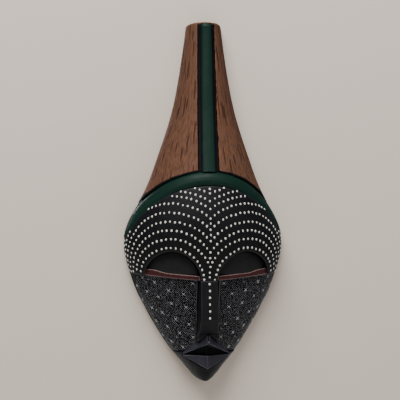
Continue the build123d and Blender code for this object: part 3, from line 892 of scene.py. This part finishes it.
def carry_to(tree_bvh, around, height):
    """The spot and the facing on a piece's surface for a place on the unrolled form."""
    turn = bearing_at(around, height)
    half_width, depth = form_at(height)
    out = Vector((math.sin(turn) / half_width, -math.cos(turn) / depth, 0)).normalized()
    out.x = math.copysign(out.x, around)
    base = Vector((math.copysign(half_width * math.sin(turn), around),
                   -depth * math.cos(turn), CHIN_Z + height))
    spot, facing, _, distance = tree_bvh.ray_cast(base + out * RAY_START, -out)
    return spot, facing, distance


def surface_of(made):
    return BVHTree.FromObject(made, bpy.context.evaluated_depsgraph_get())


# %% [markdown]
# ## White paint
#
# The dots are thick white acrylic set down with a stick.  It skins over as a low dome, so the
# dots are real domes that catch light, each a little different in size.

# %% Rows of paint dots
ROW_CENTRE = (0.4815 * HALF_WIDTH, 0.281 * HEIGHT)
FIRST_ROW = 33.2 * MM
ROW_GAPS = (0.0, 8.6, 8.2, 8.2, 8.8, 8.6, 6.9, 5.4, 5.2)  # mm, closing up under the band
OUTER_STRETCH = 1.06  # rows open out a little towards the temple
DOT_SPACING = 4.9 * MM
TEMPLE_SQUEEZE = 0.33
CENTRE_DIP = 4.5 * MM  # the rows meet in a V on the centre line
DIP_REACH = 13.0 * MM
TEMPLE_HEIGHT = 0.303 * HEIGHT
NOSE_TOP = 0.2857 * HEIGHT
NOSE_DOT_SPACING = 6.4 * MM
DOT_SIZE = (2.0, 2.35, 1.1)
CROWDED = 4.2 * MM
TOUCHING = 0.62 * CROWDED
HAND_WANDER = 0.2  # mm
MIDDLE_WANDER = 0.15
BAND_CLEAR = 0.4 * MM
SIDE_LIMIT = math.radians(86)
TURN_STEP = 0.004
FIRST_ROW_CLEAR = 2.6 * MM  # the lowest row keeps off the centre line

face_surface = surface_of(pieces["face_block"])
nose_surface = surface_of(pieces["nose"])


def clear_of_band(around, height):
    """Whether a dot here would lie on the face, below the green band."""
    half_width, _ = form_at(height)
    x = half_width * math.sin(bearing_at(around, height))
    spot = np.array([[x, 0.0, CHIN_Z + height + BAND_WIDTH]])
    return above_band(spot)[0] < -BAND_CLEAR


def row_places(row):
    """Where a row's dots go, as (distance round, height), from the front line outward."""
    places, travelled, due, last = [], 0.0, 0.0, None
    for turn in np.arange(0.0, math.pi, TURN_STEP):
        squeeze = 1 - TEMPLE_SQUEEZE * math.cos(turn) ** 2 * (turn > math.pi / 2)
        radius = FIRST_ROW + sum(ROW_GAPS[: row + 1]) * MM * squeeze
        opened = OUTER_STRETCH if turn > math.pi / 2 else 1.0
        around = ROW_CENTRE[0] - radius * math.cos(turn) * opened
        height = ROW_CENTRE[1] + radius * math.sin(turn)
        height -= (
            CENTRE_DIP * math.sin(math.pi * row / 8) * math.exp(-max(around, 0) / DIP_REACH)
        )
        if around < (FIRST_ROW_CLEAR if row == 0 else 0) or height < NOSE_TOP + 1 * MM:
            continue
        if opened > 1 and height < TEMPLE_HEIGHT:
            break
        if last is not None:
            travelled += math.hypot(around - last[0], height - last[1])
        last = (around, height)
        if travelled >= due:
            due += DOT_SPACING
            if bearing_at(around, height) < SIDE_LIMIT and clear_of_band(around, height):
                places.append((around, height))
    return places


dot_maker = random.Random(3)
spots, facings = [], []


def add_dot(surface, around, height):
    """Carry a dot to the surface and keep it, unless it would touch one already there."""
    spot, facing, gap = carry_to(surface, around, height)
    if spot is None or gap > RAY_LIMIT:
        return
    if min(((spot - other).length for other in spots), default=1.0) < TOUCHING:
        return
    spots.append(spot)
    facings.append(facing)


for row in range(len(ROW_GAPS)):
    for index, (around, height) in enumerate(row_places(row)):
        for side in (-1, 1):
            wander = [dot_maker.gauss(0, HAND_WANDER) * MM for _ in range(2)]
            if row and index == 0:
                add_dot(face_surface, wander[0], height)
                continue
            add_dot(face_surface, side * (around + wander[0]), height + wander[1])
height = NOSE_TOP + 3.5 * MM
while clear_of_band(0, height):
    middle = Vector((0, carry_to(face_surface, 0.0, height)[0].y, CHIN_Z + height))
    if min((middle - other).length for other in spots) >= CROWDED:
        add_dot(face_surface, dot_maker.gauss(0, MIDDLE_WANDER) * MM, height)
    height += 0.4 * MM
height = NOSE_TOP - 3.0 * MM
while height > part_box("nose")[0].z - CHIN_Z + 13 * MM:
    start = Vector((dot_maker.gauss(0, MIDDLE_WANDER) * MM, -0.1, CHIN_Z + height))
    spot, facing, _, _ = nose_surface.ray_cast(start, Vector((0, 1, 0)))
    spots.append(spot)
    facings.append(facing)
    height -= NOSE_DOT_SPACING
print(len(spots), "paint dots")

# %% [markdown]
# ## Punched marks on the plates
#
# A punch leaves a fine diagonal field of dots with crossed star marks standing among them in
# rows that slope down to the nose.  The field is left clear around each star.

# %% Places of the punched marks
PUNCH_PITCH = 1.55 * MM
DIAGONAL = PUNCH_PITCH * 0.7071  # the rows run at 45 degrees
STAR_ORIGIN = (0.531 * HALF_WIDTH, 0.262 * HEIGHT)
STAR_ALONG = (-15.0 * MM, -5.2 * MM)
STAR_DOWN = (-3.4 * MM, -14.6 * MM)
STAR_CLEAR = 1.7 * MM
STAR_SIZE = (0.5, 5.0, 0.8)
PUNCH_SIZE = (0.65, 0.65, 0.5)
STAR_MARGIN, PUNCH_MARGIN = 1.6 * MM, 0.55 * MM  # from the plate's edge
STAR_WANDER, PUNCH_WANDER = 0.8, 0.11  # mm
MISSED = 0.06  # the share of blows that left nothing
STEP_LIMIT = 0.0012  # a drop larger than this is over the plate's edge
FIELD_MIDDLE, FIELD_REACH, FIELD_ROUND = 0.06, 0.09, 0.085

star_maker = random.Random(12)
star_places = [
    (STAR_ORIGIN[0] + i * STAR_ALONG[0] + j * STAR_DOWN[0] + star_maker.gauss(0, STAR_WANDER) * MM,
     STAR_ORIGIN[1] + i * STAR_ALONG[1] + j * STAR_DOWN[1] + star_maker.gauss(0, STAR_WANDER) * MM)
    for i in range(-4, 6)
    for j in range(-4, 6)
]


def on_plate(surface, around, height, margin):
    """The spot and facing if the place is on the plate and this far inside its edge."""
    spot, facing, gap = carry_to(surface, around, height)
    if spot is None or gap > RAY_LIMIT:
        return None
    for turn in range(6):
        step = math.radians(60 * turn)
        near, _, near_gap = carry_to(
            surface, around + margin * math.cos(step), height + margin * math.sin(step)
        )
        if near is None or abs(near_gap - gap) > STEP_LIMIT:
            return None
    return spot, facing


punched = {}
for side, way in (("left", -1), ("right", 1)):
    surface = surface_of(pieces["cheek_plate_" + side])
    low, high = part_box("cheek_plate_" + side)
    punch = random.Random(17 + way)
    stars = [place for place in star_places
             if low.z - CHIN_Z < place[1] < high.z - CHIN_Z and place[0] > 0]
    found_stars = [found for found in
                   (on_plate(surface, way * a, h, STAR_MARGIN) for a, h in stars) if found]
    dots = []
    steps = int(FIELD_REACH / PUNCH_PITCH)
    for i in range(-steps, steps):
        for j in range(-steps, steps):
            around = (i + j) * DIAGONAL + punch.gauss(0, PUNCH_WANDER) * MM
            height = FIELD_MIDDLE + (i - j) * DIAGONAL + punch.gauss(0, PUNCH_WANDER) * MM
            outside = not 0 < around < FIELD_ROUND or not low.z < CHIN_Z + height < high.z
            if outside or punch.random() < MISSED:
                continue
            if min(math.hypot(around - a, height - h) for a, h in stars) < STAR_CLEAR:
                continue
            found = on_plate(surface, way * around, height, PUNCH_MARGIN)
            if found:
                dots.append(found)
    punched[side] = (found_stars, dots)
    print(side, len(found_stars), "stars", len(dots), "punched dots")

# %% [markdown]
# ## Materials
#
# Pattern sizes are worked from millimetres on the real thing.  Grain pores and brush hairs
# are finer than the eye resolves at this distance, so they are drawn about three times as
# coarse as they would be.

# %% Pattern, layer and finish


def grain(tree, coordinates, size_mm, **inputs):
    """Noise with a feature size in mm for each axis, on the coordinates it is handed."""
    scale = tuple(1 / (length * MM) for length in size_mm)
    stretched = add_node(tree, "ShaderNodeMapping", {"Vector": coordinates, "Scale": scale})
    noise = add_node(tree, "ShaderNodeTexNoise", {"Vector": stretched.outputs[0], **inputs})
    return noise.outputs["Fac"]


def layer(tree, under, over, pattern, start, full, most=1.0):
    """Lay a colour over another: none where the pattern is at start, most of it at full."""
    share = add_node(
        tree,
        "ShaderNodeMapRange",
        {"Value": pattern, "From Min": start, "From Max": full, "To Max": most},
        interpolation_type="SMOOTHSTEP",
    )
    mix = add_node(
        tree, "ShaderNodeMix", {0: share.outputs[0], 6: under, 7: over}, data_type="RGBA"
    )
    return mix.outputs[2]


def finish_shader(tree, shader, base, roughness, height, bump_mm, **more):
    """Give the shader its colour, roughness and bump; roughness may be (pattern, low, high)."""
    if isinstance(roughness, tuple):
        pattern, low, high = roughness
        roughness = add_node(
            tree,
            "ShaderNodeMapRange",
            {"Value": pattern, "From Min": 0.3, "From Max": 0.7, "To Min": low, "To Max": high},
        ).outputs[0]
    bump = add_node(tree, "ShaderNodeBump", {"Height": height, "Distance": bump_mm * MM})
    links = {"Base Color": base, "Roughness": roughness, "Normal": bump.outputs[0], **more}
    for key, value in links.items():
        socket = shader.inputs[key.replace("_", " ")]
        if isinstance(value, bpy.types.NodeSocket):
            tree.links.new(value, socket)
        else:
            socket.default_value = value


# %% [markdown]
# ### Raw and painted wood
#
# Light close-grained hardwood is left bare on the back, in the hollow and on dowels, and is
# darkened in each gouge dent of the hollow as painted shade.  Over it goes brushed milk paint,
# waxed and buffed: nearly black, with faint brush streaks, a broken sheen, and arrises lightened
# grey, partly rubbed and partly a painted highlight.  The lips and eyelids have a paler copy of
# it, a painted sheen and painted light, and are glossier; the band and ridge have green enamel,
# and the bars a red paint whose arrises carry a strong painted highlight.

# %% Wood and paint materials


def raw_wood(tree, coordinates):
    """Colour and height of bare hardwood with its grain up the mask."""
    year = grain(tree, coordinates, (7, 7, 90), Detail=3.0, Distortion=0.6)
    pores = grain(tree, coordinates, (0.8, 0.8, 14), Detail=4.0)
    tone = layer(tree, "#8f6b47", "#b8946a", year, 0.35, 0.65)
    tone = layer(tree, tone, "#5f432b", pores, 0.52, 0.75, 0.45)
    return tone, pores


def painted_wood(name, paint, shade, worn_and_edge_highlight, sheen, edge_wear_and_highlight, gloss_level=0.18):
    """Brushed and waxed paint on wood, lighter at its edges, partly rubbed and partly a painted
    highlight; bare wood where it is left so.
    """
    material, tree, shader = new_material(name)
    where = add_node(tree, "ShaderNodeTexCoord").outputs["Object"]
    edge, scoop_shade, bare, black_paint_and_shade = (
        add_node(tree, "ShaderNodeAttribute", attribute_name=mask).outputs["Fac"]
        for mask in ("edge", "scoop_shade", "bare", "black_paint_and_shade")
    )
    brush = grain(tree, where, (0.9, 0.9, 9), Detail=4.0, Roughness=0.6)
    cloud = grain(tree, where, (24, 24, 24), Detail=2.0)
    speck = grain(tree, where, (1.1, 1.1, 1.1), Detail=3.0)
    base = layer(tree, paint, shade, brush, 0.35, 0.68)
    base = layer(tree, base, shade, cloud, 0.45, 0.75, 0.4)
    base = layer(tree, base, worn_and_edge_highlight, speck, 0.55, 0.8, 0.5)
    # Arrises lightened: partly rubbed paint and partly a painted highlight along the edges.
    rubbed = add_node(tree, "ShaderNodeMath", {0: edge, 1: speck}, operation="MULTIPLY")
    base = layer(tree, base, worn_and_edge_highlight, rubbed.outputs[0], 0.12, 0.42, edge_wear_and_highlight)
    # Near black: black paint in the crest's channel and grooves and on the ridge's flanks, and
    # painted shade in the upper lip's furrow.
    base = layer(tree, base, "#0e0e10", black_paint_and_shade, 0.0, 1.0)
    wood, _ = raw_wood(tree, where)
    # Bare wood darkened where each gouge dent is deepest: painted shade.
    wood = layer(tree, wood, "#4a3320", scoop_shade, 0.0, 1.0, 0.6)
    base = layer(tree, base, wood, bare, 0.0, 1.0)
    gloss = add_node(
        tree,
        "ShaderNodeMapRange",
        {"Value": cloud, "From Min": 0.3, "From Max": 0.7,
         "To Min": sheen - 0.07, "To Max": sheen + 0.1},
    )
    rough = add_node(tree, "ShaderNodeMix", {0: bare, 2: gloss.outputs[0], 3: 0.75})
    finish_shader(
        tree, shader, base, rough.outputs[0], brush, 0.09, Specular_IOR_Level=gloss_level
    )
    return material


black_paint = painted_wood(
    "black_milk_paint_waxed_on_wood", "#080809", "#111114", "#333338", 0.5, 0.6
)
# The lips: a paler copy of the black paint as painted sheen, with strong pale arrises as a painted
# highlight.
lip_paint_painted_sheen = painted_wood(
    "black_milk_paint_lightened_as_painted_sheen", "#232229", "#2f2e37", "#6c6b75", 0.4, 0.9, 0.35
)
# The eyelids: a paler copy of the black paint, lightened as painted light on the domes.
lid_paint_painted_light = painted_wood(
    "black_milk_paint_lightened_as_painted_light", "#151516", "#201f20", "#3a3838", 0.42, 0.5, 0.25
)
green_paint = painted_wood(
    "green_enamel_brushed_on_wood", "#0e2c23", "#0a2119", "#25483d", 0.48, 0.5, 0.14
)
# Pale pink arrises on the red bars, set strong: a painted highlight along their upper edge.
red_paint = painted_wood(
    "red_paint_brushed_on_wood", "#4b1c1f", "#301215", "#a58884", 0.45, 0.95
)

bare_hardwood, tree, shader = new_material("bare_hardwood_turned")
where = add_node(tree, "ShaderNodeTexCoord").outputs["Object"]
tone, pores = raw_wood(tree, where)
finish_shader(tree, shader, tone, 0.7, pores, 0.08)

# %% [markdown]
# ### Stained crest
#
# Walnut stain is wiped along the grain, so its streaks run up the crest and fan with the
# flare.  It sinks darkest into the gouge cuts and is rubbed orange on the arrises.

# %% Stained wood
stained_wood, tree, shader = new_material("oil_stained_hardwood_gouged")
where = add_node(tree, "ShaderNodeTexCoord").outputs["Object"]
edge, cut, bare, black_paint_and_shade = (
    add_node(tree, "ShaderNodeAttribute", attribute_name=mask).outputs["Fac"]
    for mask in ("edge", "cut", "bare", "black_paint_and_shade")
)
flow_at = add_node(tree, "ShaderNodeAttribute", attribute_name="flow").outputs["Vector"]
streak = grain(tree, flow_at, (2.4, 8, 75), Detail=5.0, Roughness=0.55, Distortion=0.4)
broad = grain(tree, flow_at, (8, 12, 120), Detail=2.0)
hair = grain(tree, flow_at, (0.7, 3, 16), Detail=3.0)
patch = grain(tree, where, (20, 20, 34), Detail=2.0)
base = layer(tree, "#4c3427", "#6c4a39", streak, 0.3, 0.7)
base = layer(tree, base, "#755343", broad, 0.4, 0.66, 0.5)
base = layer(tree, base, "#38251b", hair, 0.56, 0.76, 0.22)
base = layer(tree, base, "#794a2d", patch, 0.54, 0.7, 0.45)
warm = add_node(tree, "ShaderNodeMath", {0: edge, 1: patch}, operation="MULTIPLY")
base = layer(tree, base, "#84573d", warm.outputs[0], 0.1, 0.5, 0.7)
base = layer(tree, base, "#32201a", cut, 0.05, 0.8, 0.75)
base = layer(tree, base, "#0f0f12", black_paint_and_shade, 0.0, 1.0)
wood, _ = raw_wood(tree, where)
base = layer(tree, base, wood, bare, 0.0, 1.0)
finish_shader(tree, shader, base, (streak, 0.68, 0.54), streak, 0.1, Specular_IOR_Level=0.08)

# %% [markdown]
# ### Metals and white paint
#
# Blackened aluminium keeps a blue-grey cast and a dull sheen, and shines only where it was
# rubbed.  Zinc plate is bright but clouded.  White acrylic is slightly warm and satin.

# %% Metals and dots
black_metal, tree, shader = new_material("aluminium_blackened_and_rubbed")
where = add_node(tree, "ShaderNodeTexCoord").outputs["Object"]
edge = add_node(tree, "ShaderNodeAttribute", attribute_name="edge").outputs["Fac"]
cloud = grain(tree, where, (9, 9, 9), Detail=3.0)
scuff = grain(tree, where, (1.0, 1.0, 1.0), Detail=4.0)
base = layer(tree, "#060608", "#0e0e13", cloud, 0.35, 0.7)
base = layer(tree, base, "#3a3b44", scuff, 0.6, 0.78, 0.2)
base = layer(tree, base, "#85868c", edge, 0.2, 0.9, 0.8)
finish_shader(
    tree, shader, base, (cloud, 0.38, 0.55), scuff, 0.03, Metallic=0.25, Specular_IOR_Level=0.12
)


def mottled(name, size_mm, detail, low, high, span, roughness, bump_mm, **more):
    """A finish that clouds between two colours; roughness may be a pair, and clouds too."""
    material, tree, shader = new_material(name)
    where = add_node(tree, "ShaderNodeTexCoord").outputs["Object"]
    cloud = grain(tree, where, (size_mm,) * 3, Detail=detail)
    base = layer(tree, low, high, cloud, *span)
    if isinstance(roughness, tuple):
        roughness = (cloud, *roughness)
    finish_shader(tree, shader, base, roughness, cloud, bump_mm, **more)
    return material


bright_metal = mottled(
    "aluminium_rubbed_bright", 5, 3.0, "#85858b", "#c6c5c8", (0.3, 0.5), 0.42, 0.01, Metallic=0.4
)
grey_metal = mottled(
    "aluminium_rubbed_grey", 1.6, 1.0, "#121215", "#cfced3", (0.46, 0.6), 0.45, 0.01, Metallic=0.4
)
pin_steel = mottled(
    "steel_pin_darkened", 1.2, 3.0, "#4e4f54", "#8f9094", (0.35, 0.65), (0.3, 0.5), 0.02,
    Metallic=1.0,
)
zinc = mottled(
    "steel_zinc_plated", 4, 4.0, "#8d9298", "#c3c2b6", (0.38, 0.64), (0.26, 0.44), 0.02,
    Metallic=1.0,
)
white_paint = mottled(
    "white_acrylic_paint_dotted", 3, 3.0, "#efece4", "#cfcabf", (0.35, 0.7), 0.42, 0.03
)
print(len(bpy.data.materials), "materials")

# %% Set the marks
drop = mark_tree("paint_drop", 1, 9, 6)
dent = mark_tree("punched_dot", 1, 8, 5)
star = mark_tree("star_mark", 2, 8, 5)
marks = [set_marks("white_dots", drop, spots, facings, DOT_SIZE, 0.16, 4, white_paint)]
for side, (found_stars, dots) in punched.items():
    for kind, tree_used, found, size, jitter, metal in (
        ("stars", star, found_stars, STAR_SIZE, 0.12, bright_metal),
        ("punched_dots", dent, dots, PUNCH_SIZE, 0.25, grey_metal),
    ):
        marks.append(
            set_marks(
                f"{kind}_{side}", tree_used, [f[0] for f in found], [f[1] for f in found],
                size, jitter, 9, metal,
            )
        )

# %% [markdown]
# ## Putting the pieces on their bodies
#
# Each piece gets its material and is hung on its body, and its CAD node is hidden.  Only the
# hanging ring turns; everything else rides on the mask.

# %% Bodies, slots and materials
FINISHES = {
    # node: material, slot
    "face_block": (black_paint, "black_painted_wood"),
    "crest_block": (stained_wood, "stained_wood"),
    "crest_dowels": (bare_hardwood, "bare_wood"),
    "crest_ridge": (green_paint, "green_enamel_on_wood"),
    "brow_band": (green_paint, "green_enamel_on_wood"),
    "eyelid_left": (lid_paint_painted_light, "black_painted_wood"),
    "eyelid_right": (lid_paint_painted_light, "black_painted_wood"),
    "eye_bar_left": (red_paint, "red_painted_wood"),
    "eye_bar_right": (red_paint, "red_painted_wood"),
    "nose": (black_paint, "black_painted_wood"),
    "upper_lip": (lip_paint_painted_sheen, "black_painted_wood"),
    "lower_lip": (lip_paint_painted_sheen, "black_painted_wood"),
    "cheek_plate_left": (black_metal, "blackened_aluminium"),
    "cheek_plate_right": (black_metal, "blackened_aluminium"),
    "cheek_pins": (pin_steel, "steel_pins"),
    "hanger_strap": (zinc, "zinc_plated_steel"),
    "hanger_ring": (zinc, "zinc_plated_steel"),
    "hanger_screws": (zinc, "zinc_plated_steel"),
}
for node, (material, slot_name) in FINISHES.items():
    made = pieces[node]
    made.data.materials.append(material)
    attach(made, "ring" if node == "hanger_ring" else "mask")
    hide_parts(node)
for made in marks:
    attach(made, "mask")
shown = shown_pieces()
print(len(shown), "pieces,", sum(len(made.data.polygons) for made in shown), "faces")
